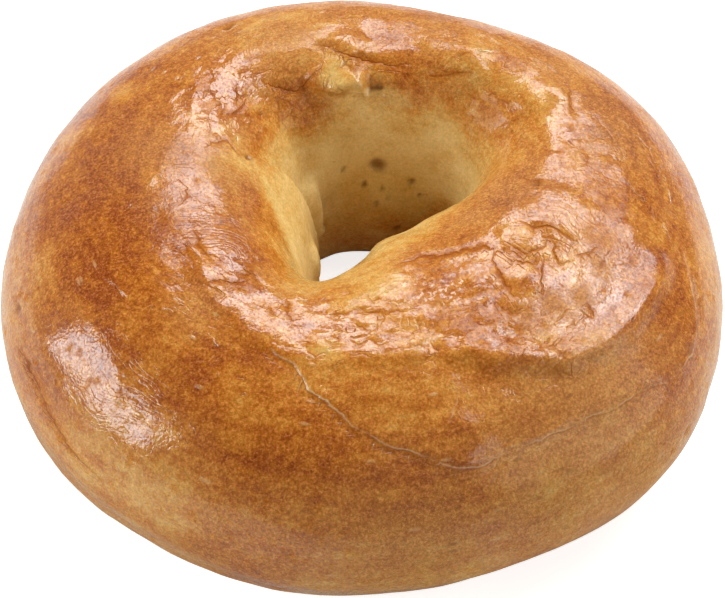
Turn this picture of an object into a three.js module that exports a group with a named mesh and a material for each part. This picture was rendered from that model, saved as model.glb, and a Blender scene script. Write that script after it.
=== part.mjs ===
// A plain bagel: one ring of dough, boiled and baked, lying on its flat underside.
// Millimetres and degrees, +Z up. The origin is under the middle of the ring, on the surface it stands on.
// Two angles say where a point of the crust is. The turn goes round the ring, from +X towards +Y.
// The other, up, goes round a section of the ring: 0 outwards, 90 at the crest, 180 in the hole.
// The front is -Y.

import * as THREE from "three";

// Driving dimensions
const OUTER_RADIUS = 55.4;
const HEIGHT = 38.5;
const WIDEST_HEIGHT = 16.5; // where the outside stands out furthest
const HOLE_RADIUS = 10.5; // at the throat, where the hole is narrowest
const THROAT_HEIGHT = 10.5;
const HOLE_CENTRE = new THREE.Vector2(2, 11.5); // well behind the middle of the ring
const CREST_SHARE = 0.43; // where the crest stands, from the hole's wall at 0 to the outside at 1
const FLAT_SHARE = 0.46; // the middle of the flat underside, counted the same way
const UNDERSIDE_SINK = 2.6; // how far the rounded underside would reach below the floor, were it not flat

// The mesh: steps round the ring, and steps round one section
const RING_STEPS = 120;
const SECTION_STEPS = 44;
const ROW_BUNCHING = 20; // degrees that draw the rows of vertices together at the side crease

const cos = (degrees) => Math.cos(THREE.MathUtils.degToRad(degrees));
const sin = (degrees) => Math.sin(THREE.MathUtils.degToRad(degrees));
const angleFrom = (a, b) => THREE.MathUtils.euclideanModulo(b - a + 180, 360) - 180;

// Dough is never quite round: each lobe swells the outline by so much, so many times round.
const OUTLINE_LOBES = [
  { times: 2, towards: -17, swell: 1.2 },
  { times: 3, towards: 7, swell: 0.6 },
  { times: 4, towards: 38, swell: 0.6 },
  { times: 5, towards: -31, swell: 0.4 },
  { times: 6, towards: 28, swell: 0.25 },
];
const HOLE_LOBES = [
  { times: 2, towards: 45, swell: 2.5 },
  { times: 3, towards: 12, swell: 2.2 },
];
const CREST_LOBES = [
  { times: 2, towards: 80, swell: 0.5 },
  { times: 3, towards: -35, swell: 0.4 },
];

function lobed(size, lobes, turn) {
  return lobes.reduce((sum, lobe) => sum + lobe.swell * cos(lobe.times * (turn - lobe.towards)), size);
}

// Lumps and dips: where each one's middle is, how far it reaches each way, and how high it stands.
const LUMPS = [
  { name: "right bulge", turn: -12, up: 112, reach: [30, 34], height: 1.2 },
  { name: "left lobe", turn: 178, up: 112, reach: [28, 30], height: 0.8 },
  { name: "front saddle", turn: -82, up: 140, reach: [20, 26], height: -1.0 },
  { name: "back knuckle", turn: 101, up: 118, reach: [7, 16], height: 1.3 },
  { name: "back valley", turn: 86, up: 92, reach: [13, 14], height: -1.2 },
  { name: "back left dip", turn: 122, up: 72, reach: [16, 14], height: -0.7 },
  { name: "back right pillow", turn: 58, up: 104, reach: [11, 18], height: 0.9 },
  { name: "front notch of the hole", turn: -114, up: 160, reach: [13, 50], height: -3.9 },
  { name: "front right shoulder of the hole", turn: -80, up: 152, reach: [17, 42], height: 3.6 },
  { name: "left wall of the hole", turn: -152, up: 180, reach: [17, 30], height: 1.6 },
  { name: "corner fold of the hole", turn: 139, up: 165, reach: [7, 42], height: -1.4 },
];

function lumpHeight(turn, up) {
  return LUMPS.reduce((sum, lump) => {
    const across = angleFrom(lump.turn, turn) / lump.reach[0];
    const along = angleFrom(lump.up, up) / lump.reach[1];
    return sum + lump.height * Math.exp(-across * across - along * along);
  }, 0);
}

// Grooves that run with the dough. The side crease goes all round, low on the outside, where the
// dough lifted off its foot as it rose. The seam is the edge of the rolled rope of dough: it comes
// from the crest at the left of the front, dips to the outside, and climbs back to the crest on the right.
const GROOVES = [
  { name: "side crease", up: (turn) => -16 + 9 * cos(2 * (turn - 12)), halfWidth: 5.5, depth: 0.8 },
  {
    name: "seam",
    up: (turn) => 31 + 45 * (angleFrom(-45, turn) / 65) ** 2,
    middle: -48,
    reach: 62,
    halfWidth: 5,
    depth: 0.45,
  },
];

function grooveDepth(turn, up) {
  return GROOVES.reduce((sum, groove) => {
    const away = angleFrom(groove.up(turn), up) / groove.halfWidth;
    const along = groove.reach ? angleFrom(groove.middle, turn) / groove.reach : 0;
    return sum + groove.depth * Math.exp(-away * away - along ** 6);
  }, 0);
}

// How full each quarter of a section is: an ellipse at 1, squarer below that
const FULLNESS = {
  outerTop: 0.98,
  innerTop: 0.95,
  outerFoot: 0.88,
  innerFoot: 0.62,
};

// One angle's place in a section: its share of the way from the hole's wall to the outside, and its height
function sectionPoint(up, crest) {
  const isOutside = cos(up) >= 0;
  const isTop = sin(up) >= 0;
  const sideHeight = isOutside ? WIDEST_HEIGHT : THROAT_HEIGHT;
  const middle = isTop ? CREST_SHARE : FLAT_SHARE;
  const width = isOutside ? 1 - middle : -middle;
  const rise = isTop ? crest - sideHeight : -UNDERSIDE_SINK - sideHeight;
  const fullness = FULLNESS[(isOutside ? "outer" : "inner") + (isTop ? "Top" : "Foot")];
  const rounded = (value) => Math.abs(value) ** fullness;
  return [middle + width * rounded(cos(up)), sideHeight + rise * rounded(sin(up))];
}

// A point of the crust before its lumps and grooves are added
function smoothPoint(turn, up) {
  const [share, height] = sectionPoint(up, lobed(HEIGHT, CREST_LOBES, turn));
  const away = new THREE.Vector2(cos(turn), sin(turn));
  const outside = away.clone().multiplyScalar(lobed(OUTER_RADIUS, OUTLINE_LOBES, turn));
  const wall = away.multiplyScalar(lobed(HOLE_RADIUS, HOLE_LOBES, turn)).add(HOLE_CENTRE);
  const place = wall.lerp(outside, share);
  return new THREE.Vector3(place.x, place.y, height);
}

// The direction that faces away from the dough, from two short steps along the crust
function outwards(turn, up) {
  const step = 0.05;
  const round = smoothPoint(turn + step, up).sub(smoothPoint(turn - step, up));
  const over = smoothPoint(turn, up + step).sub(smoothPoint(turn, up - step));
  return round.cross(over).normalize();
}

function crustPoint(turn, up) {
  const relief = lumpHeight(turn, up) - grooveDepth(turn, up);
  const point = smoothPoint(turn, up).addScaledVector(outwards(turn, up), relief);
  point.z = Math.max(point.z, 0); // the flat that it stands on
  return point;
}

// The angles up a section where its vertices lie: one row follows the side crease, others crowd towards it
function rowAngle(turn, row) {
  const even = (360 * row) / SECTION_STEPS;
  return GROOVES[0].up(turn) + even - ROW_BUNCHING * sin(even);
}

// A section's vertices at each step round the ring, each joined to the next section by two triangles a row
function bagelGeometry() {
  const positions = [];
  const triangles = [];
  const vertexAt = (step, row) => (step % RING_STEPS) * SECTION_STEPS + (row % SECTION_STEPS);
  for (let step = 0; step < RING_STEPS; step += 1) {
    const turn = (360 * step) / RING_STEPS;
    for (let row = 0; row < SECTION_STEPS; row += 1) {
      positions.push(...crustPoint(turn, rowAngle(turn, row)));
      const [a, b] = [vertexAt(step, row), vertexAt(step + 1, row)];
      const [c, d] = [vertexAt(step + 1, row + 1), vertexAt(step, row + 1)];
      triangles.push(a, b, c, a, c, d);
    }
  }
  const geometry = new THREE.BufferGeometry();
  geometry.setAttribute("position", new THREE.Float32BufferAttribute(positions, 3));
  geometry.setIndex(triangles);
  geometry.computeVertexNormals();
  return geometry;
}

// Golden brown crust with the soft gloss that boiling gives
const crust = new THREE.MeshStandardMaterial({ color: 0xbf7a35, roughness: 0.45, metalness: 0 });

const bagel = new THREE.Mesh(bagelGeometry(), crust);
bagel.name = "bagel";

// The middle of the outline stands over the origin.
bagel.geometry.computeBoundingBox();
const middle = bagel.geometry.boundingBox.getCenter(new THREE.Vector3());
bagel.position.set(-middle.x, -middle.y, 0);

const part = new THREE.Group();
part.add(bagel);

export default part;
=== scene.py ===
# %% [markdown]
# # A plain bagel
#
# A bagel is a rope of stiff dough that is rolled, joined into a ring, dipped in boiling water and baked.
# The water sets a skin before the oven can puff the crumb, so the crust comes out smooth, thin and glossy,
# and it wrinkles like leather where the ring swelled against it.
#
# The ring's true size and form come from the frame. This notebook gives it the surface of the real bread:
# first a fine skin over the solid, then plates, creases, seams, blisters and pits as real relief, then the
# baked colours and the gloss.

# %% Load the frame
import math

import bpy
import numpy as np
from mathutils import Euler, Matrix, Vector, noise
from mathutils.bvhtree import BVHTree


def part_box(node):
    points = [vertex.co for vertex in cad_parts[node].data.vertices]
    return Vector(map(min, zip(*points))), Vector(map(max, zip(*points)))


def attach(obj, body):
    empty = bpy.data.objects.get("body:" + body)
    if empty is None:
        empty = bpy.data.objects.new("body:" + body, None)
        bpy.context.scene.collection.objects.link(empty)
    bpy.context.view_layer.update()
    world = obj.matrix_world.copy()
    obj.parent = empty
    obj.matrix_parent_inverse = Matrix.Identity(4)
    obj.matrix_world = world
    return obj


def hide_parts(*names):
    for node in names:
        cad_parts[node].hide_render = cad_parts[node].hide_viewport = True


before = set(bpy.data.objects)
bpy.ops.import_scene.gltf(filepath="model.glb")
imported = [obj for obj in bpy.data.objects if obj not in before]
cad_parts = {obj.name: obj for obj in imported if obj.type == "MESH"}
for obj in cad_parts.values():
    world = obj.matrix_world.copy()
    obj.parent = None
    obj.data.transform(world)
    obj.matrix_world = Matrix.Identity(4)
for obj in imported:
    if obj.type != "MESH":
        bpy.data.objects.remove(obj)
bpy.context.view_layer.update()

MM = 0.001  # Blender works in metres, and this notebook's own sizes are millimetres
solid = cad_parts["bagel"]
low, high = (np.array(corner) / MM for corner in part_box("bagel"))
width, depth, height = high - low
print(f"the bagel is {width:.1f} by {depth:.1f} by {height:.1f} mm")
bpy.ops.object.select_all(action="DESELECT")

# %% [markdown]
# ## The camera
#
# The camera comes first, because the creases and blisters are put where a photograph of this bagel shows
# them. It looks down by 48 degrees from half a metre away, through a long lens, as food is often
# photographed. A long lens keeps the far side of the ring nearly as large as the near side.

# %% Camera
PHOTO_SIZE = (725, 598)  # pixels
VIEW_DOWN = 48  # degrees
VIEW_DISTANCE = 480
LOOK_AT = Vector((0.22, -2.66, 18))
SENSOR_WIDTH = 36
FOCAL_LENGTH = 154.8

view_turn = Euler((math.radians(90 - VIEW_DOWN), 0, 0))
towards_camera = view_turn.to_matrix() @ Vector((0, 0, 1))
bpy.ops.object.camera_add(location=(LOOK_AT + VIEW_DISTANCE * towards_camera) * MM, rotation=view_turn)
camera = bpy.context.object
camera.name = "camera"
camera.data.lens = FOCAL_LENGTH
camera.data.sensor_width = SENSOR_WIDTH
camera.data.clip_start = 10 * MM
bpy.context.scene.camera = camera
bpy.context.view_layer.update()
print("the camera stands at", [round(c / MM) for c in camera.location], "mm")

# %% [markdown]
# ## The dough's smooth form
#
# The solid is made of flat triangles 2 to 3 mm across, and a crust shows no such facets. A copy of it is
# merged, its triangles are paired into quads, and Subdivision Surface rounds it. The copy is only a form to
# press the skin on, and it is deleted afterwards. The solid itself stays as it is.

# %% Round the form
FORM_LEVELS = 2

form = bpy.data.objects.new("form", solid.data.copy())
bpy.context.collection.objects.link(form)
bpy.context.view_layer.objects.active = form
form.select_set(True)
bpy.ops.object.mode_set(mode="EDIT")
bpy.ops.mesh.select_all(action="SELECT")
bpy.ops.mesh.remove_doubles(threshold=0.001 * MM)
bpy.ops.mesh.tris_convert_to_quads(face_threshold=math.radians(60), shape_threshold=math.radians(60))
bpy.ops.object.mode_set(mode="OBJECT")
bpy.ops.object.modifier_add(type="SUBSURF")
form.modifiers[0].levels = FORM_LEVELS
form.modifiers[0].render_levels = FORM_LEVELS
bpy.ops.object.modifier_apply(modifier=form.modifiers[0].name)
print("the smooth form has", len(form.data.polygons), "faces")

# %% [markdown]
# ## The skin
#
# The skin could be the smoothed copy itself, but its faces are crowded at the side crease and sparse in
# front. A torus is a better start: its rows run round the ring and round each section, as dough does, and
# they can be crowded towards the top, where the crust shows most. Shrinkwrap then presses it on the form
# along its own normals, and Smooth takes out the last facets.
#
# Each vertex also keeps two angles from the torus, as a baker would point at the ring: `turn` goes round
# it, and `up` goes round a section, 0 outwards, 90 at the crest and 180 in the hole.

# %% Press a torus on the form
RING_STEPS = 500
SECTION_STEPS = 198
CORE_CENTRE = np.array([1.0, 5.75, 18.0])  # the line in the middle of the dough is a circle about here
CORE_RADIUS = 33.0
SKIN_RADIUS = 19.0
CROWDING = 0.42  # how much closer the rows are at the top, as a share

bpy.ops.mesh.primitive_torus_add(
    major_segments=RING_STEPS,
    minor_segments=SECTION_STEPS,
    major_radius=CORE_RADIUS * MM,
    minor_radius=SKIN_RADIUS * MM,
)
crust = bpy.context.object
crust.name = "crust"


def read(mesh_data, name, size=3):
    values = np.empty(len(mesh_data) * size)
    mesh_data.foreach_get(name, values)
    return values.reshape(-1, size)


start = read(crust.data.vertices, "co") / MM
turn = np.arctan2(start[:, 1], start[:, 0])
up = np.arctan2(start[:, 2], np.hypot(start[:, 0], start[:, 1]) - CORE_RADIUS)
up = up + CROWDING * np.cos(up)
reach = CORE_RADIUS + SKIN_RADIUS * np.cos(up)
places = np.stack([reach * np.cos(turn), reach * np.sin(turn), SKIN_RADIUS * np.sin(up)], axis=1)
crust.data.vertices.foreach_set("co", ((places + CORE_CENTRE) * MM).ravel())
crust.data.update()
turn, up = np.degrees(turn), np.degrees(up)

bpy.ops.object.modifier_add(type="SHRINKWRAP")
wrap = crust.modifiers[0]
wrap.wrap_method = "PROJECT"
wrap.target = form
wrap.use_negative_direction = True
wrap.use_positive_direction = True
bpy.ops.object.modifier_apply(modifier=wrap.name)
bpy.ops.object.modifier_add(type="SMOOTH")
crust.modifiers[0].factor = 0.5
crust.modifiers[0].iterations = 4
bpy.ops.object.modifier_apply(modifier=crust.modifiers[0].name)
bpy.data.objects.remove(form)
bpy.ops.object.shade_smooth()

points = read(crust.data.vertices, "co") / MM
normals = read(crust.data.vertex_normals, "vector")
print("the skin has", len(crust.data.polygons), "faces, and stands", round(points[:, 2].max(), 1), "mm tall")

# %% [markdown]
# ## Finding a place on the crust
#
# What the photograph shows is pointed at by its pixel, counted from the top left, and a ray from the camera
# through that pixel finds the place on the bread. From then on the place is a point in millimetres, and
# whatever is modelled there sits in the crust from every side.

# %% Point at the crust
focal_pixels = FOCAL_LENGTH / SENSOR_WIDTH * PHOTO_SIZE[0]
skin_tree = BVHTree.FromPolygons(
    [Vector(point) for point in points], [polygon.vertices[:] for polygon in crust.data.polygons]
)


def on_crust(pixel):
    across = (pixel[0] - PHOTO_SIZE[0] / 2) / focal_pixels
    down = (pixel[1] - PHOTO_SIZE[1] / 2) / focal_pixels
    ray = view_turn.to_matrix() @ Vector((across, -down, -1))
    place = skin_tree.ray_cast(camera.location / MM, ray.normalized())[0]
    if place is None:
        raise ValueError(f"pixel {pixel} misses the crust")
    return np.array(place)


def distance_to(place, spots=points):
    return np.linalg.norm(spots - place, axis=1)


def bell(distance, width):
    return np.exp(-((distance / width) ** 2))


print("the crest in front is at", on_crust((340, 322)).round(1), "mm")

# %% [markdown]
# ## Natural unevenness
#
# Nothing in dough is even, so every measure below is disturbed by smooth noise, which looks like what
# growing and drying do. Its lumps are as wide as the size it is given, so the sizes stay those of real bread.
# First the whole crust swells gently. `ragged` is a copy of the points, pushed about by noise: a distance
# measured from it has a ragged edge, as a tear in bread has.

# %% Noise and swellings
NOISE_STEP = 37.1  # moves each noise to a place of its own
# Each kind of swelling: its width, and how far it stands out
SWELLINGS = {"lobes": (15.0, 0.3), "lumps": (6.0, 0.12), "dimples": (3.2, 0.06)}


def noise_at(spots, size, number=0):
    steps = spots / size + number * NOISE_STEP
    return np.array([noise.noise(step) for step in steps.tolist()])


def shifted(spots, size, amount, number):
    push = [noise_at(spots, size, number + axis) for axis in range(3)]
    return spots + amount * np.stack(push, axis=1)


ragged = shifted(shifted(points, 5.0, 0.9, 1), 1.6, 0.45, 4)

relief = np.zeros(len(points))
for number, (size, tall) in enumerate(SWELLINGS.values(), start=7):
    relief += tall * noise_at(points, size, number)
print(f"swellings stand up to {relief.max():.2f} mm and sink {relief.min():.2f} mm")

# %% [markdown]
# ## Fine lines
#
# The thinnest lines in the crust are a third of a millimetre wide, finer than the mesh. So each vertex stores
# how far it is from such a line, negative on one side and positive on the other, and the material draws the
# line where that distance passes through zero. The strength fades away from the line.

# %% Keep the distances for the fine lines
class FineLines:
    REACH = 1.3

    def __init__(self):
        self.distance = np.full(len(points), self.REACH)
        self.strength = np.zeros(len(points))

    def add(self, away, side, strength):
        near = np.clip(2 - 2 * away / self.REACH, 0, 1) * strength
        stronger = near > self.strength
        self.distance[stronger] = (away * side)[stronger]
        self.strength[stronger] = near[stronger]


# %% [markdown]
# ## Leathery skin
#
# Where the crust swelled most, it lies in small plates with thin fissures between them. Each plate is nearly
# flat and tilts its own way, so that one mirrors the light and its neighbour doesn't. A Voronoi pattern
# gives such plates: a point belongs to the nearest of many scattered centres, and an edge lies where the two
# nearest centres are equally far. Beside the bulges, smaller plates break the shine into drops.
#
# Each centre has random numbers of its own: one says which of two neighbours counts as the negative side of
# their edge, and another says whether the plate has lost its glossy film.

# %% Plates
# Each patch of plates: its pixel, its radius and its strength
LARGE_PLATES = {
    "left lobe, lower": ((222, 276), 8.5, 0.8),
    "left lobe, upper": ((208, 222), 7.0, 0.35),
    "right bulge": ((545, 250), 10.0, 0.35),
    "ring, right": ((560, 345), 7.0, 1.0),
    "ring, front": ((500, 345), 7.0, 0.9),
    "ring, left": ((450, 335), 7.0, 0.8),
    "front crest": ((340, 325), 12.0, 0.8),
    "far left rim": ((240, 100), 9.0, 1.0),
    "far middle": ((335, 66), 7.0, 1.0),
    "far right rim": ((480, 70), 9.0, 0.7),
    "right rim": ((590, 150), 9.0, 0.5),
    "left shoulder": ((120, 385), 11.0, 0.4),
}
SMALL_PLATES = {
    "left of the bulge": ((440, 285), 7.0, 1.0),
    "bulge, foot": ((505, 300), 6.0, 0.7),
    "bulge, middle": ((530, 240), 4.0, 0.5),
    "front crest": ((400, 325), 7.0, 0.5),
    "front crest, left": ((320, 330), 9.0, 0.3),
    "left slope": ((270, 265), 6.0, 0.35),
    "far left rim": ((275, 110), 6.0, 0.5),
    "far middle": ((420, 50), 10.0, 0.5),
    "right rim": ((600, 190), 8.0, 0.35),
    "left wall of the hole": ((317, 200), 4.0, 0.7),
}
LARGE_SIZE = 3.0
SMALL_SIZE = 1.4
LARGE_TILT = 0.17  # the steepest slope of a plate is half of this
SMALL_TILT = 0.35
FAR_SIDE_PLATES = 0.4  # their strength on the top of the whole far side
FISSURE_DEPTH = 0.16
FISSURE_WIDTH = 0.35
RUBBED_SHARE = 0.22  # of the plates have lost their film
HASH_SPREAD = 91.7  # takes neighbouring centres to random numbers far apart


def strength_of(patches, spots=points):
    strength = np.zeros(len(points))
    for pixel, radius, strongest in patches.values():
        strength = np.maximum(strength, strongest * bell(distance_to(on_crust(pixel), spots), radius))
    return strength


def plate_pattern(spots, size, number):
    lifts = []
    edges = []
    chances = []
    for spot in (spots / size + number * NOISE_STEP).tolist():
        distances, centres = noise.voronoi(spot)
        own, other = (noise.cell_vector(centre * HASH_SPREAD) for centre in centres[:2])
        lifts.append((Vector(spot) - centres[0]).dot(own - Vector((0.5, 0.5, 0.5))))
        edge = (distances[1] ** 2 - distances[0] ** 2) / (2 * (centres[1] - centres[0]).length)
        edges.append(math.copysign(edge, own.x - other.x))
        chances.append(own.z)
    return size * np.array(lifts), size * np.array(edges), np.array(chances)


far_side = np.clip(np.cos(np.radians(up - 100)), 0, 1) * np.clip(points[:, 1] / 30 - 0.9, 0, 1)
large = np.maximum(strength_of(LARGE_PLATES), FAR_SIDE_PLATES * far_side)
large *= 1 + 0.5 * noise_at(points, 7.0, 20)
small = strength_of(SMALL_PLATES) * (1 + 0.5 * noise_at(points, 4.0, 21))

fissures = FineLines()
rubbed = np.zeros(len(points))
kinds = ((large, LARGE_SIZE, LARGE_TILT, 22), (small, SMALL_SIZE, SMALL_TILT, 26))
for strength, size, tilt, number in kinds:
    lift, edge, chance = plate_pattern(ragged, size, number)
    opened = np.clip(0.45 + 2.2 * noise_at(points, 2.4, number + 1), 0, 1)
    relief += tilt * strength * lift
    relief -= FISSURE_DEPTH * size / LARGE_SIZE * strength * opened * bell(edge, FISSURE_WIDTH)
    fissures.add(np.abs(edge), np.sign(edge), np.clip(strength * opened, 0, 1) * size / LARGE_SIZE)
    rubbed = np.maximum(rubbed, np.clip(strength, 0, 0.7) * (chance < RUBBED_SHARE))
print("the skin lies in plates over", f"{(np.maximum(large, small) > 0.3).mean():.0%}", "of its vertices")

# %% [markdown]
# ## Creases
#
# The deep creases of the right bulge, the folds beside the hole and the veins of the left lobe are each
# drawn along a line. The line is a row of pixels in the photograph, put on the crust. The distance to it,
# measured from the ragged copy of the points so that it wanders as a real crease does, gives a valley with
# a puffed lip on both sides, and it fades out at the line's ends. The glossy film is worn beside a crease.

# %% Creases along lines
def distance_to_line(pixels, spots):
    line = [on_crust(pixel) for pixel in pixels]
    nearest = np.full(len(spots), np.inf)
    side = np.zeros(len(spots))
    share = np.zeros(len(spots))
    lengths = [np.linalg.norm(end - start) for start, end in zip(line, line[1:])]
    walked = 0.0
    for start, end, length in zip(line, line[1:], lengths):
        step = end - start
        along = np.clip((spots - start) @ step / length**2, 0, 1)
        away = spots - start - along[:, None] * step
        distance = np.linalg.norm(away, axis=1)
        closer = distance < nearest
        nearest[closer] = distance[closer]
        side[closer] = np.einsum("ij,ij->i", np.cross(step, away), normals)[closer]
        share[closer] = ((walked + along * length) / sum(lengths))[closer]
        walked += length
    return nearest, np.sign(side), share


def fading(share, quickness):
    return np.sqrt(np.clip(quickness * share * (1 - share), 0, 1))


# Each crease: its line, its half width and its depth
CREASES = {
    "bulge, front": ([(400, 264), (420, 254), (440, 252), (466, 250), (486, 246), (497, 251)], 0.5, 0.5),
    "bulge, front, right": ([(497, 251), (512, 260), (530, 262), (541, 263)], 0.5, 0.5),
    "bulge, back": ([(520, 222), (532, 228), (548, 227), (560, 232), (572, 239), (580, 241)], 0.36, 0.6),
    "bulge, middle": ([(508, 242), (520, 250), (528, 254), (542, 250), (550, 243)], 0.4, 0.35),
    "bulge, hook": ([(550, 240), (556, 254), (562, 264), (576, 262)], 0.42, 0.4),
    "bulge, right": ([(576, 254), (590, 252), (602, 247)], 0.5, 0.35),
    "bulge, left limb": ([(496, 251), (496, 268), (504, 280), (510, 292), (522, 302)], 0.42, 0.4),
    "bulge, right limb": ([(543, 256), (542, 280), (542, 297)], 0.4, 0.4),
    "bulge, foot": ([(496, 300), (512, 311), (530, 309)], 0.8, 0.3),
    "ring, notch": ([(591, 304), (592, 318)], 0.5, 0.3),
    "right, small": ([(516, 176), (530, 181), (538, 183), (550, 181)], 0.55, 0.35),
    "lobe, vein": ([(206, 288), (214, 285), (226, 282), (238, 284), (251, 282)], 0.5, 0.5),
    "lobe, right vein": ([(256, 256), (254, 274), (258, 288), (265, 292)], 0.45, 0.4),
    "lobe, short vein": ([(242, 268), (251, 278)], 0.45, 0.35),
    "lobe, left vein": ([(192, 230), (200, 246), (208, 260), (216, 262)], 0.45, 0.4),
    "lobe, outer vein": ([(186, 242), (190, 260), (192, 270)], 0.45, 0.35),
    "lobe, top": ([(172, 180), (181, 183), (189, 187), (187, 198), (176, 208)], 0.35, 0.2),
    "rim fold": ([(206, 150), (216, 143), (227, 141), (240, 152), (250, 157)], 0.4, 0.35),
    "rim fold, lower": ([(250, 157), (262, 160), (277, 168), (284, 174)], 0.5, 0.3),
    "far left crack": ([(228, 116), (236, 112), (246, 100)], 0.5, 0.4),
    "far left valley": ([(258, 80), (278, 88), (298, 93), (309, 80), (322, 62)], 0.7, 0.6),
    "far valley": ([(318, 46), (334, 53), (356, 59), (372, 66), (392, 67), (412, 63)], 0.9, 0.6),
    "far right valley": ([(426, 72), (450, 76), (474, 74)], 0.7, 0.4),
    "right rim crack": ([(565, 80), (573, 94), (575, 114), (582, 120)], 0.5, 0.4),
    "front, small": ([(236, 370), (247, 379)], 0.45, 0.25),
    "saddle, left": ([(290, 296), (292, 310), (292, 322)], 0.45, 0.3),
    "saddle, outer": ([(274, 300), (276, 316)], 0.45, 0.25),
    "low right": ([(608, 472), (622, 469), (643, 458)], 0.45, 0.35),
    "side crease, left": (
        [(17, 346), (26, 362), (32, 374), (40, 394), (48, 414), (64, 438), (82, 461), (104, 481)],
        0.6,
        0.6,
    ),
}
LIP = 0.08  # this and the next as shares of the crease's depth
VALLEY = 0.42

crease_shading = np.zeros(len(points))
beside_creases = np.zeros(len(points))
crease_lines = FineLines()
for pixels, half_width, deep in CREASES.values():
    away, side, share = distance_to_line(pixels, ragged)
    fade = fading(share, 4)
    valley = bell(away, half_width)
    lips = bell(away - 2.2 * half_width, 1.2 * half_width)
    relief += deep * fade * (LIP * lips - VALLEY * valley)
    # How strongly the crease is darkened with painted shade
    crease_shading = np.maximum(crease_shading, fade * bell(away, 0.9 * half_width) * min(1, deep / 0.5))
    beside_creases = np.maximum(beside_creases, fade * bell(away, 2.2 * half_width))
    crease_lines.add(away, side, fade * min(1, deep / 0.5))
print(len(CREASES), "creases; the relief now sinks", round(relief.min(), 2), "mm")

# %% [markdown]
# ## Shelves and folds
#
# Where one roll of dough swelled against another, it ends in a low shelf, which falls off faster outwards
# than inwards. A short steep one is the torn knuckle behind the hole. At the hole's left wall the dough folds
# over and drops away behind. The wall leans out there, and meets the back of the hole in a corner.

# %% Shelves
# Each shelf: its outer edge, how high it stands there, and how far it reaches inwards and outwards
SHELVES = {
    "ring round the right bulge": (
        [(440, 352), (480, 357), (525, 363), (565, 364), (600, 348), (632, 324), (655, 290), (665, 255)],
        1.3,
        2.8,
        1.6,
    ),
    "crest, left": ([(196, 262), (210, 296), (238, 322), (270, 344), (300, 356), (330, 360)], 0.45, 3.0, 1.4),
    "crest, front": ([(330, 360), (365, 358), (400, 360), (440, 352)], 0.5, 3.4, 1.6),
    "far knuckle": ([(306, 76), (320, 84), (336, 88), (350, 88), (362, 92)], 2.0, 2.3, 0.7),
}

shelf_spots = shifted(points, 4.0, 0.8, 36)
for pixels, tall, inwards, outwards in SHELVES.values():
    away, side, share = distance_to_line(pixels, shelf_spots)
    relief += tall * fading(share, 8) * np.where(side > 0, bell(away, inwards), bell(away, outwards))

# %% The hole's left wall
FOLD = [(206, 150), (226, 142), (248, 157), (266, 162), (284, 174), (298, 190), (310, 214), (317, 245)]
FOLD_DROP = 1.8  # at its deep end, in the hole
FOLD_STEP = 0.8  # the width of the step down behind the fold
FOLD_REACH = 5.0
FOLD_END = 2.0  # how far the drop reaches past the line's deep end
WALL_CORNER = [(324, 168), (327, 188), (328, 205), (328, 220)]
WALL_LEAN = 0.62
WALL_WIDTH = 3.6

away, side, share = distance_to_line(FOLD, shifted(points, 3.0, 0.4, 38))
behind = np.where(side > 0, np.clip(away / FOLD_STEP, 0, 1) * bell(away, FOLD_REACH), 0)
deepening = np.clip(share * 1.4, 0, 1) ** 1.5
past_end = np.where(share < 0.999, 1, bell(away, FOLD_END))
relief -= FOLD_DROP * deepening * past_end * behind

away, side, share = distance_to_line(WALL_CORNER, points)
lean = WALL_LEAN * np.minimum(away, WALL_WIDTH) * bell(np.maximum(away - WALL_WIDTH, 0), 2.0)
relief += np.where(side < 0, fading(share, 6) * lean, 0)

# %% [markdown]
# ## Seams and threads
#
# The long seam is the end of the rope of dough, rolled under the ring's other end and baked there. The crust
# on its inner side stands a little higher and ends in a thin rounded edge, with a fine groove under it. The
# signed distance to the line says which side a point is on. Threads are the reverse of creases: fine raised
# lines, where the skin was pinched. Both are broken here and there, by noise.

# %% Seams and threads
# Each seam: its line, how high its edge stands, and how far the raised side reaches
SEAMS = {
    "long seam": (
        [
            (266, 347), (280, 358), (294, 365), (303, 378), (308, 391), (328, 403), (350, 423), (366, 435),
            (390, 447), (420, 456), (436, 464), (452, 469), (466, 470), (480, 467), (494, 459), (512, 453),
        ],
        0.34,
        3.5,
    ),
    "seam, right": (
        [(512, 453), (546, 438), (570, 428), (592, 418), (620, 404), (642, 392), (666, 381), (680, 371)],
        0.22,
        3.0,
    ),
    "seam, far right": ([(680, 371), (692, 356), (697, 330), (693, 300), (688, 268), (684, 250)], 0.3, 3.0),
}
# Each thread: its line and how high it stands
THREADS = {
    "left": ([(128, 212), (138, 193), (154, 177), (172, 168), (200, 158)], 0.16),
    "left, low": ([(102, 272), (114, 284), (126, 294), (137, 299)], 0.12),
    "left, middle": ([(148, 305), (162, 309), (177, 311)], 0.12),
    "front left": ([(210, 330), (212, 342), (218, 353), (222, 370), (225, 384)], 0.14),
    "front left, inner": ([(246, 389), (256, 394), (266, 399)], 0.14),
    "far left": ([(212, 37), (240, 31), (262, 28), (280, 27)], 0.16),
    "far right": ([(440, 30), (470, 34), (500, 41), (530, 55), (556, 69), (570, 76)], 0.22),
    "right, outer": ([(618, 116), (636, 134), (652, 154), (668, 188), (678, 222)], 0.18),
    "right, inner": ([(608, 170), (626, 182), (643, 198), (662, 222), (676, 248), (682, 262)], 0.24),
    "front arc": ([(424, 432), (442, 421), (458, 402), (462, 384), (458, 372)], 0.10),
    "far ridge": ([(424, 52), (448, 44), (474, 49), (490, 60)], 0.16),
    "torn rim": (
        [(316, 66), (322, 78), (334, 84), (346, 83), (358, 88), (368, 93), (380, 92), (392, 99), (404, 104)],
        0.5,
    ),
}
THREAD_WIDTH = 0.42

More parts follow.
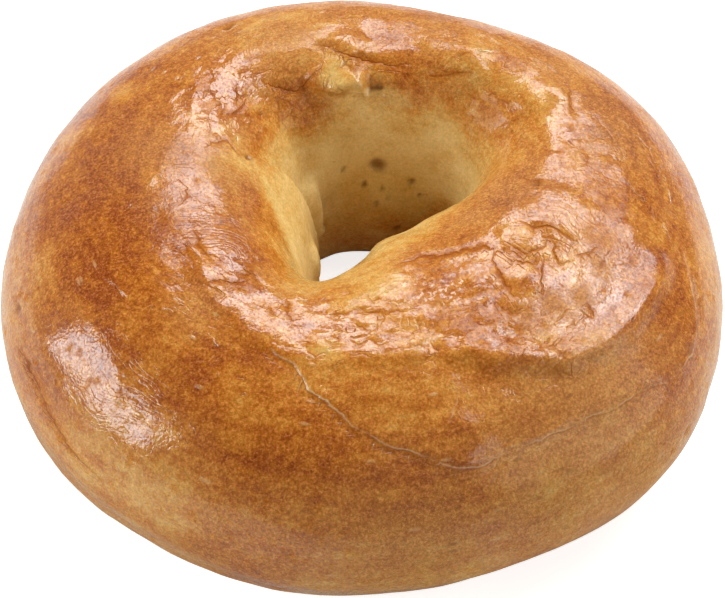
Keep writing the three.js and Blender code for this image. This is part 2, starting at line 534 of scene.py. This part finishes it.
seam_lines = FineLines()
seam_spots = shifted(points, 2.2, 0.5, 30)
unbroken = np.clip(0.75 + 1.6 * noise_at(points, 3.0, 32), 0, 1)
for pixels, high_edge, raised in SEAMS.values():
    away, side, share = distance_to_line(pixels, seam_spots)
    fade = fading(share, 6)
    inner = np.where(side > 0, np.exp(-away / raised) * np.clip(away / 0.4, 0, 1), 0)
    groove = np.where(side > 0, 0, bell(away - 0.6, 0.6))
    relief += high_edge * fade * (inner - 0.6 * groove)
    seam_lines.add(away, side, unbroken * fade * min(1, high_edge / 0.3))
thread_lines = FineLines()
unbroken = np.clip(0.35 + 2.4 * noise_at(points, 1.4, 33), 0, 1)
for pixels, tall in THREADS.values():
    away, side, share = distance_to_line(pixels, ragged)
    fade = unbroken * fading(share, 4)
    relief += tall * fade * bell(away, THREAD_WIDTH)
    thread_lines.add(away, side, fade * min(1, tall / 0.16))
print(len(SEAMS), "seams and", len(THREADS), "threads")

# %% [markdown]
# ## Lumps, blisters and pits
#
# Steam under the skin lifts thin round blisters with a steep edge, and burst bubbles leave pits, most of
# them in the hole, where the skin is thinnest. Both are listed one by one. A blister is a flat-topped dome,
# and a pit is a steep-sided cup.

# %% Lumps and pits
# Each lump: its pixel, radius and height
LUMPS = {
    "brown blister": ((455, 441), 4.6, 0.5),
    "pale blister": ((541, 95), 3.6, 0.45),
    "pale blister, right": ((560, 92), 2.4, 0.35),
    "far knuckle": ((330, 72), 1.8, 0.35),
    "far left lump": ((350, 44), 3.0, 0.6),
    "far lump": ((300, 66), 3.2, 0.5),
    "hole, foot of the left wall": ((315, 262), 2.6, 0.8),
    "far right lump": ((468, 63), 3.2, 0.35),
    "crest drop": ((318, 340), 1.3, 0.3),
    "crest drop, low": ((324, 349), 0.9, 0.25),
    "crest ring": ((299, 299), 1.3, 0.25),
    "bulge cushion": ((562, 212), 5.0, 0.5),
    "bulge cushion, left": ((518, 238), 2.4, 0.3),
    "bulge plate": ((528, 282), 2.6, 0.35),
    "bulge plate, left": ((482, 275), 2.8, 0.3),
}
# Each pit: its pixel, radius and depth
PITS = {
    "hole, large": ((378, 165), 1.3, 0.5),
    "hole, a": ((364, 184), 0.5, 0.4),
    "hole, b": ((383, 188), 0.45, 0.4),
    "hole, c": ((412, 181), 0.6, 0.35),
    "hole, d": ((388, 197), 0.4, 0.3),
    "hole, e": ((420, 195), 0.35, 0.25),
    "hole, f": ((376, 203), 0.5, 0.25),
    "hole, g": ((397, 228), 0.6, 0.4),
    "hole, h": ((343, 170), 0.4, 0.2),
    "far tear": ((372, 88), 0.7, 0.45),
    "far tear, right": ((379, 87), 0.6, 0.45),
    "rim, a": ((248, 157), 0.6, 0.6),
    "rim, b": ((276, 164), 0.4, 0.35),
    "rim, c": ((284, 170), 0.35, 0.3),
    "front": ((488, 513), 0.55, 0.9),
    "low right": ((685, 432), 0.6, 0.9),
    "bulge": ((598, 357), 0.5, 0.4),
    "right, small": ((537, 183), 0.55, 0.6),
    "left edge": ((18, 310), 0.9, 0.6),
    "left foot": ((26, 362), 0.8, 0.6),
    "seam": ((690, 350), 0.7, 0.5),
    "far left": ((229, 27), 0.8, 0.4),
}

for pixel, radius, tall in LUMPS.values():
    away = distance_to(on_crust(pixel), ragged) / radius
    relief += tall / (1 + away**8) * (1 - 0.25 * np.minimum(away, 1) ** 2)
pitted = np.zeros(len(points))
pit_spots = shifted(points, 1.5, 0.25, 40)
for pixel, radius, deep in PITS.values():
    cup = np.exp(-((distance_to(on_crust(pixel), pit_spots) / radius) ** 4))
    relief -= deep * cup
    pitted = np.maximum(pitted, cup)
print(len(LUMPS), "lumps and", len(PITS), "pits")

# %% [markdown]
# ## Press the relief into the skin
#
# Each vertex moves along its own normal. The flat underside stays flat, because the bread stood on a tray
# while it baked, so the relief fades out there, and nothing may sink below the floor.

# %% Move the skin
FLAT_FADE = 3.0  # the height over which the relief fades out above the tray

fade_in = np.clip(points[:, 2] / FLAT_FADE, 0, 1)
moved = points + (relief * fade_in)[:, None] * normals
moved[:, 2] = np.maximum(moved[:, 2], 0)
crust.data.vertices.foreach_set("co", (moved * MM).ravel())
crust.data.update()
print(f"the relief runs from {relief.min():.2f} to {relief.max():.2f} mm")

# %% [markdown]
# ## Where the oven browned it
#
# A crust isn't one colour. The sugar in it browns with heat, so what stands out towards the oven's top is
# dark orange brown, and what is sheltered, as the hole, or was stretched open late, stays the colour of
# straw. Each vertex gets a `toast` value, 0 for straw and 1 for the darkest brown. It starts from how high up
# its section the point lies, and is drawn towards values judged at places in the photograph.

# %% Toast
# Each place: its pixel, its toast, and how far it reaches
TOASTED = {
    "left shoulder": ((105, 250), 1.0, 9),
    "left shoulder, top": ((140, 215), 0.95, 6),
    "left shoulder, low": ((200, 300), 0.76, 6),
    "left crest": ((160, 150), 0.84, 6),
    "left lobe": ((215, 240), 0.82, 7),
    "left rim": ((252, 205), 0.9, 4),
    "left slope": ((293, 205), 0.14, 5),
    "left slope, low": ((300, 260), 0.06, 5),
    "left slope, top": ((290, 150), 0.12, 4),
    # The hole's left corner and strip are the palest straw: partly their own colour, partly a painted pool of
    # light
    "hole, left corner": ((314, 175), 0.0, 4),
    "hole, left strip": ((317, 205), 0.0, 2.5),
    "hole, behind the strip": ((338, 215), 0.12, 2.0),
    "hole, back": ((375, 170), 0.05, 8),
    "hole, back, low": ((365, 228), 0.35, 4),
    "hole, right": ((450, 155), 0.0, 6),
    "hole, lip": ((345, 112), 0.12, 5),
    "right rim": ((495, 128), 0.76, 5),
    "right rim, pale": ((488, 155), 0.3, 4),
    "saddle": ((375, 285), 0.34, 5),
    "saddle, front": ((400, 305), 0.66, 4),
    "saddle, right": ((432, 264), 0.85, 4),
    "crest, front": ((335, 320), 0.74, 5),
    "crest, front right": ((480, 325), 0.85, 6),
    "far left rim": ((240, 95), 0.78, 7),
    "far crest": ((300, 25), 0.56, 7),
    "far crest, right": ((400, 30), 0.75, 7),
    "far dark": ((395, 75), 0.85, 5),
    "far dark, left": ((308, 108), 0.78, 4),
    "far dark, right": ((455, 90), 0.5, 5),
    # The knuckle's pale straw is partly its own colour and partly a painted highlight
    "knuckle": ((332, 73), 0.05, 2.2),
    "torn rim": ((372, 95), 0.05, 1.6),
    "torn rim, left": ((352, 88), 0.05, 1.6),
    "torn rim, right": ((395, 102), 0.1, 1.6),
    "pale blister": ((546, 95), 0.42, 4),
    "right crest": ((520, 190), 0.86, 6),
    "right bulge": ((560, 225), 0.62, 8),
    "bulge, left": ((470, 230), 0.78, 6),
    "right side": ((662, 300), 0.82, 7),
    "right side, top": ((640, 170), 0.7, 6),
    "right stripe": ((660, 235), 0.6, 2.5),
    "far right edge": ((600, 115), 0.8, 6),
    "far stripe": ((520, 60), 0.78, 2.5),
    "left stripe": ((120, 92), 0.5, 2.5),
    "left stripe, low": ((72, 135), 0.5, 2.5),
    "left stripe, far": ((185, 62), 0.85, 2.5),
    "left band": ((150, 95), 0.82, 3),
    "right, below": ((600, 390), 0.66, 8),
    "front, right": ((560, 470), 0.52, 8),
    "front, gold": ((395, 390), 0.58, 7),
    "front, above the seam": ((440, 400), 0.6, 5),
    "brown blister": ((460, 448), 0.95, 3),
    "front, brown": ((420, 487), 0.88, 7),
    "front, left brown": ((300, 425), 0.93, 7),
    "front, left brown, low": ((225, 450), 0.8, 6),
    "left, dark line": ((205, 400), 0.97, 6),
    "left, orange": ((250, 395), 0.6, 4),
    "seam, pale": ((318, 372), 0.22, 4),
    "left shoulder, gloss": ((110, 390), 0.85, 8),
    "left low": ((140, 480), 0.36, 6),
    "left low, inner": ((175, 445), 0.66, 5),
    "left low, outer": ((95, 440), 0.4, 6),
    "left foot": ((60, 462), 0.55, 6),
    "left edge": ((25, 300), 0.58, 6),
    "front foot": ((250, 570), 0.84, 6),
    "front bottom": ((400, 560), 0.52, 8),
    "right foot": ((620, 500), 0.55, 8),
    "right edge": ((712, 280), 0.55, 6),
}
# The toast of a section by its angle, from the hole under the ring and over its top to the hole again
SECTION_ANGLES = [-180, -150, -90, -40, -12, 20, 60, 95, 125, 150, 180]
SECTION_TOAST = [0.15, 0.45, 0.55, 0.45, 0.5, 0.75, 0.8, 0.62, 0.5, 0.2, 0.15]
SECTION_WEIGHT = 0.22  # how much the section's toast counts beside the places

section = np.interp(up, SECTION_ANGLES, SECTION_TOAST)
section += 0.25 * noise_at(points, 16.0, 50) + 0.12 * noise_at(points, 6.0, 51)
total = SECTION_WEIGHT * section
weights = np.full(len(points), SECTION_WEIGHT)
spread = shifted(points, 6.0, 2.2, 52)
for pixel, value, radius in TOASTED.values():
    weight = bell(distance_to(on_crust(pixel), spread), radius)
    total += weight * value
    weights += weight
toast = total / weights + 0.14 * noise_at(points, 4.5, 55) + 0.06 * noise_at(points, 1.8, 56)
# Creases get a little more toast, as painted shade in them
toast += 0.12 * crease_shading
print(f"toast runs from {toast.min():.2f} to {toast.max():.2f}, {toast.mean():.2f} on average")

# %% [markdown]
# ## Gloss, dull patches and fine ripples
#
# The boiled skin shines like satin paint, but not everywhere. Dull places, such as the lower right side and
# the inside of the hole, are dusty. Bare places have lost the glossy film but not their clear brown.
#
# On the bulges the skin carries ripples finer than a millimetre, which run round each bulge like the lines of
# a fingertip. They are too fine for the mesh, so each vertex only stores how far it is from the middle of its
# whorl, and the material draws the ripples from that.

# %% Gloss and whorls
# Each dull or bare place: its pixel, its radius, and how dull or bare it is
DULL = {
    "left lobe, back": ((225, 168), 6, 1.0),
    "far right, outer": ((608, 135), 6, 0.8),
    "left crest": ((155, 150), 8, 0.8),
    "left lobe, top": ((165, 200), 5, 0.5),
    "right crest": ((505, 185), 8, 0.9),
    "bulge, left": ((465, 215), 6, 0.7),
    "right, below": ((600, 395), 12, 0.9),
    "front, right": ((560, 480), 14, 0.9),
    "front, bottom": ((420, 555), 14, 0.8),
    "right foot": ((640, 470), 12, 0.8),
    "right band": ((585, 290), 3, 0.5),
    "foot, left": ((200, 560), 10, 0.5),
    "hole, back": ((380, 190), 12, 1.0),
    "hole, left": ((314, 190), 7, 1.0),
    "far edge": ((330, 12), 6, 0.5),
    "far crest, left": ((290, 30), 8, 1.0),
    "far crest, right": ((435, 22), 8, 0.7),
    "far right": ((560, 62), 8, 0.7),
    "far right, low": ((600, 110), 7, 0.6),
    "left shoulder, low": ((200, 303), 4, 0.6),
    "moat, a": ((530, 314), 2.6, 0.95),
    "moat, b": ((556, 306), 3.2, 0.95),
    "moat, c": ((580, 294), 3.2, 0.95),
    "moat, d": ((600, 270), 3.2, 0.95),
}
BARE = {
    "hole, top left": ((297, 114), 5.0, 1.0),
    "hole, top right": ((487, 110), 6.5, 1.0),
    "saddle, front": ((400, 305), 4, 0.3),
    "crest, front right": ((478, 322), 2.8, 0.75),
    "right rim": ((622, 200), 5.5, 0.85),
    "right rim, low": ((603, 245), 4.5, 0.85),
    "right rim, high": ((592, 150), 6, 0.6),
    "saddle": ((362, 284), 4.5, 0.85),
    "left lobe, outer": ((160, 225), 5, 0.8),
    "left lobe, outer, low": ((155, 280), 5, 0.8),
    "bulge, left": ((450, 235), 6, 0.8),
    "saddle, right": ((427, 264), 3.2, 1.0),
    "right side": ((662, 300), 7, 0.8),
    "right side, back": ((668, 240), 6, 0.6),
    "left shoulder": ((105, 250), 10, 0.5),
    "front, brown": ((420, 487), 8, 0.7),
    "front, left brown": ((300, 425), 9, 0.7),
    "front, left brown, low": ((225, 450), 7, 0.6),
    "left, dark line": ((205, 400), 7, 0.5),
    "front, gold": ((395, 390), 8, 0.5),
    "front, above the seam": ((458, 396), 7, 0.9),
    "far crest, right": ((400, 30), 5, 0.6),
    "far stripe": ((520, 60), 5, 0.9),
    "far crest": ((455, 60), 5, 0.6),
}
# Each whorl: the middle that its ripples run round, the place where they show, how far they reach, and how
# strong they are
WHORLS = {
    "left lobe": ((200, 290), (215, 238), 8, 1.0),
    "left shoulder": ((240, 300), (118, 392), 13, 0.6),
    "right bulge": ((535, 275), (562, 222), 10, 0.65),
    "ring": ((530, 240), (570, 340), 9, 0.5),
    "saddle": ((385, 200), (385, 290), 8, 0.35),
    "far left rim": ((290, 150), (235, 100), 9, 0.3),
    "right side": ((560, 300), (650, 330), 10, 0.25),
}
OUTSIDE_WHORLS = np.array([0.0, 80.0, 20.0])  # the middle for the rest of the crust, which has no ripples

underside = np.clip((35 - np.abs(up + 90)) / 20, 0, 1)
inside_hole = np.clip((np.abs(up) - 140) / 15, 0, 1)
dull = np.maximum.reduce([strength_of(DULL, spread), underside, inside_hole])
bare = np.maximum.reduce([strength_of(BARE, spread), dull, 0.8 * beside_creases, rubbed])

whorl = distance_to(OUTSIDE_WHORLS)
ripple = np.zeros(len(points))
whorl_spots = shifted(shifted(points, 9.0, 2.5, 60), 4.0, 1.2, 64)
for middle, pixel, radius, strength in WHORLS.values():
    here = strength * np.clip(1.2 * bell(distance_to(on_crust(pixel)), radius) - 0.2, 0, 1)
    whorl = np.where(here > ripple, distance_to(on_crust(middle), whorl_spots), whorl)
    ripple = np.maximum(ripple, here)
ripple *= 1 - 0.8 * dull
print("the gloss is missing over", f"{(bare > 0.5).mean():.0%}", "of the vertices")

# %% Store the values on the mesh
VALUES = {
    "toast": toast,
    "dull": dull,
    "bare": bare,
    "drops": np.clip(small, 0, 1),
    "whorl": whorl,
    "ripple": ripple,
    "crease_shade": np.clip(crease_shading, 0, 1),
    "pit": pitted,
}
LINES = {"fissure": fissures, "crease": crease_lines, "seam": seam_lines, "thread": thread_lines}
for name, lines in LINES.items():
    VALUES[name] = lines.distance
    VALUES[name + "_strength"] = lines.strength
for name, values in VALUES.items():
    attribute = crust.data.attributes.new(name, "FLOAT", "POINT")
    attribute.data.foreach_set("value", values.astype(np.float32))

up_from_foot = np.radians((up + 90) % 360) * SKIN_RADIUS
flow_places = np.stack([np.cos(np.radians(turn)), np.sin(np.radians(turn)), up_from_foot], axis=1)
attribute = crust.data.attributes.new("flow", "FLOAT_VECTOR", "POINT")
attribute.data.foreach_set("vector", flow_places.astype(np.float32).ravel())
print("stored", ", ".join(VALUES))

# %% [markdown]
# ## The crust's material
#
# Baked crust is starch and protein browned on top, with a set starch film over it. Its index of refraction
# is about that of dry starch, 1.5, and it is no metal. Under the film the crumb skin is rough, and the film
# itself is smooth, so the shine comes from a coat over a rough base. The coat's own index is set higher than
# starch's, because the real film's highlights are that strong. The colours below were matched to the
# photograph, from straw to the darkest brown.

# %% Helpers for the material
def linear(hex_colour):
    parts = [int(hex_colour[i : i + 2], 16) / 255 for i in (1, 3, 5)]
    return tuple(p / 12.92 if p <= 0.04045 else ((p + 0.055) / 1.055) ** 2.4 for p in parts) + (1.0,)


def add_node(tree, kind, settings=None, inputs=None):
    node = tree.nodes.new("ShaderNode" + kind)
    for name, value in (settings or {}).items():
        setattr(node, name, value)
    for name, value in (inputs or {}).items():
        value = getattr(value, "socket", value)
        if isinstance(value, bpy.types.NodeSocket):
            tree.links.new(value, node.inputs[name])
        else:
            node.inputs[name].default_value = value
    return node


def per_mm(size):
    return 1 / (size * MM)


# %% [markdown]
# Most of this material is arithmetic on values that differ from place to place on the crust. Such a value is
# kept here as a `Signal`, and Python's own signs add the Math nodes: `toast * 0.9 + 0.3` adds two of them.

# %% Arithmetic in the material
material = bpy.data.materials.new("baked_bagel_crust")
material.use_nodes = True
tree = material.node_tree
tree.nodes.clear()


class Signal:
    def __init__(self, socket):
        self.socket = socket

    def combined(self, operation, *others):
        inputs = dict(enumerate([self, *others]))
        return Signal(add_node(tree, "Math", {"operation": operation}, inputs).outputs[0])

    def __add__(self, other):
        return self.combined("ADD", other)

    def __sub__(self, other):
        return self.combined("SUBTRACT", other)

    def __rsub__(self, other):
        return self.combined("MULTIPLY_ADD", -1.0, other)

    def __mul__(self, other):
        return self.combined("MULTIPLY", other)


def stored(name):
    return Signal(add_node(tree, "Attribute", {"attribute_name": name}).outputs["Fac"])


def between(value, start, end):
    inputs = {"Value": value, "From Min": start, "From Max": end}
    return Signal(add_node(tree, "MapRange", inputs=inputs).outputs["Result"])


def swing(value, amount):
    return value.combined("MULTIPLY_ADD", amount, -0.5 * amount)


def hump(value, middle, half_width):
    steps = (value - middle) * (1 / half_width)
    return (steps * steps * -1.0).combined("EXPONENT")


# %% [markdown]
# Stains and streaks follow the dough, which was rolled and stretched along the ring. A noise that is long
# along the ring and narrow across it needs coordinates that bend with the dough: two of them go round the
# ring on a circle, so that it has no start or end, and the third goes up the section from the underside.

# %% Grain and streaks
place = add_node(tree, "TexCoord").outputs["Object"]
flow = add_node(tree, "Attribute", {"attribute_name": "flow"}).outputs["Vector"]


def noise_value(spot, scale, detail, crispness=0.5):
    inputs = {"Vector": spot, "Scale": scale, "Detail": detail, "Roughness": crispness}
    return Signal(add_node(tree, "TexNoise", inputs=inputs).outputs["Fac"])


def grain(size, detail, crispness=0.5):
    return noise_value(place, per_mm(size), detail, crispness)


def along_dough(long, short):
    stretch = (CORE_RADIUS / long, CORE_RADIUS / long, 1 / short)
    return add_node(tree, "VectorMath", {"operation": "MULTIPLY"}, {0: flow, 1: stretch}).outputs[0]


# %% Crust colours
TOAST_COLOURS = {
    0.0: "#EACF8E",
    0.2: "#DBB56A",
    0.42: "#CF9646",
    0.62: "#C27B28",
    0.8: "#AF610F",
    1.0: "#934303",
}
DULL_COLOUR = "#B58253"
# Painted shade: creases, fissures, ripple grooves and the seam's shadow are darkened with this colour
PAINTED_SHADE_COLOUR = "#9C500C"
PIT_SHADE_COLOUR = "#784314"
FRECKLE_COLOUR = "#6E3A14"
SPECK_AND_GLINT_COLOUR = "#E0B478"
DUST_COLOUR = "#DFB27A"
PAINTED_HIGHLIGHT_COLOUR = "#E9C494"
STREAK_LENGTH = 7.0
STREAK_WIDTH = 1.3
STAIN_SIZE = 1.2

toast_value = stored("toast")
dull_value = stored("dull")
streaks = noise_value(along_dough(STREAK_LENGTH, STREAK_WIDTH), 1.0, 2)
stains = swing(streaks, 0.48) + swing(grain(STAIN_SIZE, 2, 0.7), 0.7)
stained = stains * between(toast_value, -0.1, 0.5) + toast_value
ramp = add_node(tree, "ValToRGB", inputs={"Fac": stained})
ramp.color_ramp.elements.remove(ramp.color_ramp.elements[1])
for position, colour in TOAST_COLOURS.items():
    stop = ramp.color_ramp.elements[0] if position == 0 else ramp.color_ramp.elements.new(position)
    stop.position = position
    stop.color = linear(colour)


def painted(colour, amount, paint):
    inputs = {0: amount, 6: colour, 7: linear(paint)}
    return add_node(tree, "Mix", {"data_type": "RGBA"}, inputs).outputs[2]


crusty = between(toast_value, 0.3, 0.6)
colour = painted(ramp.outputs["Color"], dull_value * crusty * 0.5, DULL_COLOUR)

# %% [markdown]
# Close up, the crust is finely mottled: the skin is full of pores, and dusty between them. One crisp noise
# draws both, darker below its middle and paler above. The browner the crust, the stronger its mottle.

# %% Mottle
MOTTLE_SIZE = 0.42
MOTTLE_DARK = 2.4
MOTTLE_DUST = 1.3

mottle = grain(MOTTLE_SIZE, 3, 0.85)
browned = toast_value * 0.9 + 0.3
shade = swing(mottle, MOTTLE_DARK) * browned + 1.0
shading = {"data_type": "RGBA", "blend_type": "MULTIPLY"}
colour = add_node(tree, "Mix", shading, {0: 1.0, 6: colour, 7: shade}).outputs[2]
dust = swing(mottle, MOTTLE_DUST).combined("MAXIMUM", 0.0) * browned
colour = painted(colour, dust, DUST_COLOUR)
# Painted shade along the creases
colour = painted(colour, stored("crease_shade") * 0.35, PAINTED_SHADE_COLOUR)
# Painted shade in each pit
colour = painted(colour, stored("pit") * 0.8, PIT_SHADE_COLOUR)

# %% [markdown]
# Freckles are bubbles under the skin that browned through, half a millimetre wide, and they lie in the dull
# patches. Voronoi cells give each one a place: near a cell's middle the distance is small, and the cell's own
# random colour says whether it has a freckle at all. The freckles are longer along the dough. Pimples are the
# same with other numbers: they stand up and catch the light, and their pale colour is partly their own and
# partly a painted glint.

# %% Freckles and pimples
def dots(long, short, radius, share):
    inputs = {"Vector": along_dough(long, short), "Scale": 1.0}
    cells = add_node(tree, "TexVoronoi", inputs=inputs)
    near = between(cells.outputs["Distance"], radius, 0.4 * radius)
    cell_colour = add_node(tree, "SeparateColor", inputs={"Color": cells.outputs["Color"]})
    return near * Signal(cell_colour.outputs["Red"]).combined("LESS_THAN", share)


freckles = dots(long=3.2, short=1.4, radius=0.22, share=0.5) * dull_value * crusty
colour = painted(colour, freckles * 0.5, FRECKLE_COLOUR)
pimples = dots(long=3.4, short=1.6, radius=0.2, share=0.22)
# Pale pimples: partly their own colour, partly a painted glint
colour = painted(colour, pimples * 0.35, SPECK_AND_GLINT_COLOUR)

# %% [markdown]
# The fine lines come next, all painted light and shade: painted shade in a crease or a fissure, a painted
# highlight along a thread or a seam's edge, and a painted shadow under the seam. A little noise makes each of
# them wander.

# %% Fine lines
WOBBLE_SIZE = 0.9
CREASE_LINE = 0.2
FISSURE_LINE = 0.16
THREAD_LINE = 0.14
SEAM_EDGE = 0.14
SEAM_SHADOW = 0.18

wobble = swing(grain(WOBBLE_SIZE, 1), 0.5)


def line_along(name, half_width):
    return hump(stored(name) + wobble, 0.0, half_width) * stored(name + "_strength")


crease_line = line_along("crease", CREASE_LINE)
fissure_line = line_along("fissure", FISSURE_LINE)
thread_line = line_along("thread", THREAD_LINE)
seam_distance = stored("seam") + wobble * 0.6
seam_strength = stored("seam_strength")
seam_edge_highlight = hump(seam_distance, SEAM_EDGE, SEAM_EDGE) * seam_strength
seam_shadow = hump(seam_distance, -SEAM_SHADOW, SEAM_SHADOW) * seam_strength
seam_step = between(seam_distance, -SEAM_EDGE, SEAM_EDGE) * seam_strength
colour = painted(colour, crease_line * 0.7, PAINTED_SHADE_COLOUR)
# Painted shade in the fissures between the plates
colour = painted(colour, fissure_line * 0.6, PAINTED_SHADE_COLOUR)
# Painted highlight along each thread
colour = painted(colour, thread_line * 0.4, PAINTED_HIGHLIGHT_COLOUR)
# Painted highlight along the seam's rounded edge
colour = painted(colour, seam_edge_highlight * 0.55, PAINTED_HIGHLIGHT_COLOUR)
# Painted shadow under the seam's edge
colour = painted(colour, seam_shadow * 0.6, PAINTED_SHADE_COLOUR)

# %% [markdown]
# The bump comes last. Ripples run round each bulge: a noise that changes quickly with the distance from the
# whorl's middle and slowly in every other way, so that they are long, and yet break and join. A thin groove
# lies wherever that noise passes its middle value. Dimples and the grain of the skin are plain noise. Heights
# are in millimetres, so the Bump node's distance is one millimetre.

# %% Bump
RIPPLE_SPACING = 0.8
RIPPLE_LENGTH = 5.0
RIPPLE_HEIGHT = 0.06
GROOVE_SHARE = 0.045  # a groove's half width, as a share of the noise's whole range
GROOVE_DEPTH = 0.03
DIMPLE_SIZE = 1.3
DIMPLE_HEIGHT = 0.03
GRAIN_SIZE = 0.35
GRAIN_HEIGHT = 0.022
FISSURE_CUT = 0.1
CREASE_CUT = 0.14
THREAD_HEIGHT = 0.1
SEAM_HEIGHT = 0.14
PIMPLE_HEIGHT = 0.07

across_ripples = stored("whorl") * (1 / RIPPLE_SPACING)
across = add_node(tree, "CombineXYZ", inputs={"X": across_ripples}).outputs[0]
ripple_inputs = {0: place, 1: [per_mm(RIPPLE_LENGTH)] * 3, 2: across}
ripple_spot = add_node(tree, "VectorMath", {"operation": "MULTIPLY_ADD"}, ripple_inputs).outputs[0]
ripples = noise_value(ripple_spot, 1.0, 1)
groove = hump(ripples, 0.5, GROOVE_SHARE) * stored("ripple")
# Painted shade in each ripple groove
colour = painted(colour, groove * 0.3, PAINTED_SHADE_COLOUR)

skin_height = grain(DIMPLE_SIZE, 1) * DIMPLE_HEIGHT + grain(GRAIN_SIZE, 1) * GRAIN_HEIGHT
ripple_height = ripples * (stored("ripple") * RIPPLE_HEIGHT) - groove * GROOVE_DEPTH
cuts = fissure_line * FISSURE_CUT + crease_line * CREASE_CUT
raised_lines = thread_line * THREAD_HEIGHT + seam_step * SEAM_HEIGHT
bump_height = skin_height + ripple_height - cuts + raised_lines + pimples * PIMPLE_HEIGHT
bump_inputs = {"Height": bump_height, "Distance": MM, "Strength": 1.0}
bump = add_node(tree, "Bump", inputs=bump_inputs).outputs["Normal"]

# %% [markdown]
# The film's gloss is patchy, and it is broken in every crease, fissure and pit. Close up it is speckled all
# over, because every pore breaks it, and among the small plates it has shrunk to separate drops.

# %% Gloss
PATCH_SIZE = 2.6
DROP_SIZE = 0.9
SPECKLE_SIZE = 0.34

patchy = between(grain(PATCH_SIZE, 2, 0.7), 0.25, 0.45)
drops = between(grain(DROP_SIZE, 1), 0.5, 0.56)
drop_share = 1.0 - stored("drops") * (1.0 - drops)
film = between(stored("bare"), 0.95, 0.1) * patchy * drop_share
speckles = (1.0 - between(grain(SPECKLE_SIZE, 1, 0.7), 0.4, 0.47)) * 0.8
broken = speckles
for damage in (crease_line, fissure_line, groove * 0.7, stored("pit"), stored("crease_shade")):
    broken = broken.combined("MAXIMUM", damage)
coat = film * (1.0 - broken * 0.85) * 0.97 + 0.03
roughness = dull_value * 0.15 + 0.48

shader_inputs = {
    "Base Color": colour,
    "Roughness": roughness,
    "Normal": bump,
    "IOR": 1.5,
    "Specular IOR Level": 0.1,
    "Coat Weight": coat,
    "Coat Roughness": 0.085,
    "Coat IOR": 1.65,
    "Coat Normal": bump,
}
shader = add_node(tree, "BsdfPrincipled", inputs=shader_inputs)
add_node(tree, "OutputMaterial", inputs={"Surface": shader.outputs["BSDF"]})
crust.data.materials.clear()
crust.data.materials.append(material)
print("the crust's material has", len(tree.nodes), "nodes")

# %% [markdown]
# ## The crust stands for the solid
#
# The bagel has one body. The crust rides on it and stands for the solid, which stays in the frame for
# weight and touch.

# %% Ride on the body
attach(crust, "root")
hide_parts("bagel")

# %% [markdown]
# ## Floor and light
#
# The floor is plain and nearly white, as in a product photograph. The main light is a large softbox behind
# the bagel and to the right, half way up: it draws the long highlights along the crest. A smaller one, high
# at the right, lights the ring round the right bulge. One low at the left draws the highlight on the left
# shoulder, and a weak one at the right front fills that side. Pale surroundings fill the rest.

# %% Floor
FLOOR_SIZE = 3.0
FLOOR_GLOW = 0.78  # seen by the camera only, so that the floor is white and yet doesn't light the bread

bpy.ops.mesh.primitive_plane_add(size=FLOOR_SIZE, location=(0, 0, 0))
floor = bpy.context.object
floor.name = "floor"
paper = bpy.data.materials.new("white_paper")
paper.use_nodes = True
paper_tree = paper.node_tree
paper_shader = paper_tree.nodes["Principled BSDF"]
looks = {"Base Color": linear("#E6E4E1"), "Roughness": 0.9, "Specular IOR Level": 0.1}
looks["Emission Color"] = (1, 1, 1, 1)
for name, value in looks.items():
    paper_shader.inputs[name].default_value = value
ray = add_node(paper_tree, "LightPath").outputs["Is Camera Ray"]
glow = add_node(paper_tree, "Math", {"operation": "MULTIPLY"}, {0: ray, 1: FLOOR_GLOW})
paper_tree.links.new(glow.outputs[0], paper_shader.inputs["Emission Strength"])
floor.data.materials.append(paper)

# %% Softboxes
# Each softbox: compass direction from straight behind towards the right, height in degrees, distance,
# width and height in metres, and power in watts
SOFTBOXES = {
    "back right softbox": (20, 48, 0.9, 0.85, 0.4, 7.3),
    "left softbox": (-98, 22, 0.9, 0.62, 0.42, 5.6),
    "right softbox": (112, 22, 1.0, 0.9, 0.6, 2.8),
    "high right softbox": (64, 58, 0.9, 0.45, 0.28, 2.3),
}

for name, (compass, rise, far, wide, tall, power) in SOFTBOXES.items():
    compass, rise = math.radians(compass), math.radians(rise)
    flat = math.cos(rise)
    away = Vector((flat * math.sin(compass), flat * math.cos(compass), math.sin(rise)))
    bpy.ops.object.light_add(type="AREA", location=LOOK_AT * MM + far * away)
    light = bpy.context.object
    light.name = name
    light.rotation_euler = away.to_track_quat("Z", "Y").to_euler()
    light.data.shape = "RECTANGLE"
    light.data.size = wide
    light.data.size_y = tall
    light.data.energy = power
print("lit by", ", ".join(SOFTBOXES))

# %% [markdown]
# The walls of the studio are pale and its ceiling is darker, so the surroundings fade from the level of the
# floor upwards. A bright ceiling would lay a grey haze over the brown crust.

# %% Pale surroundings
WALL_LIGHT = 0.35
CEILING_LIGHT = 0.1

world = bpy.data.worlds.new("pale surroundings")
bpy.context.scene.world = world
world.use_nodes = True
sky = world.node_tree
background = sky.nodes["Background"]
background.inputs["Color"].default_value = linear("#FFFDFA")
direction = add_node(sky, "TexCoord").outputs["Generated"]
upward = add_node(sky, "SeparateXYZ", inputs={"Vector": direction}).outputs["Z"]
dimming = {"Value": upward, "From Min": 0.1, "From Max": 0.7, "To Min": WALL_LIGHT, "To Max": CEILING_LIGHT}
surround = add_node(sky, "MapRange", inputs=dimming).outputs["Result"]
sky.links.new(surround, background.inputs["Strength"])

bpy.context.scene.view_settings.view_transform = "Standard"
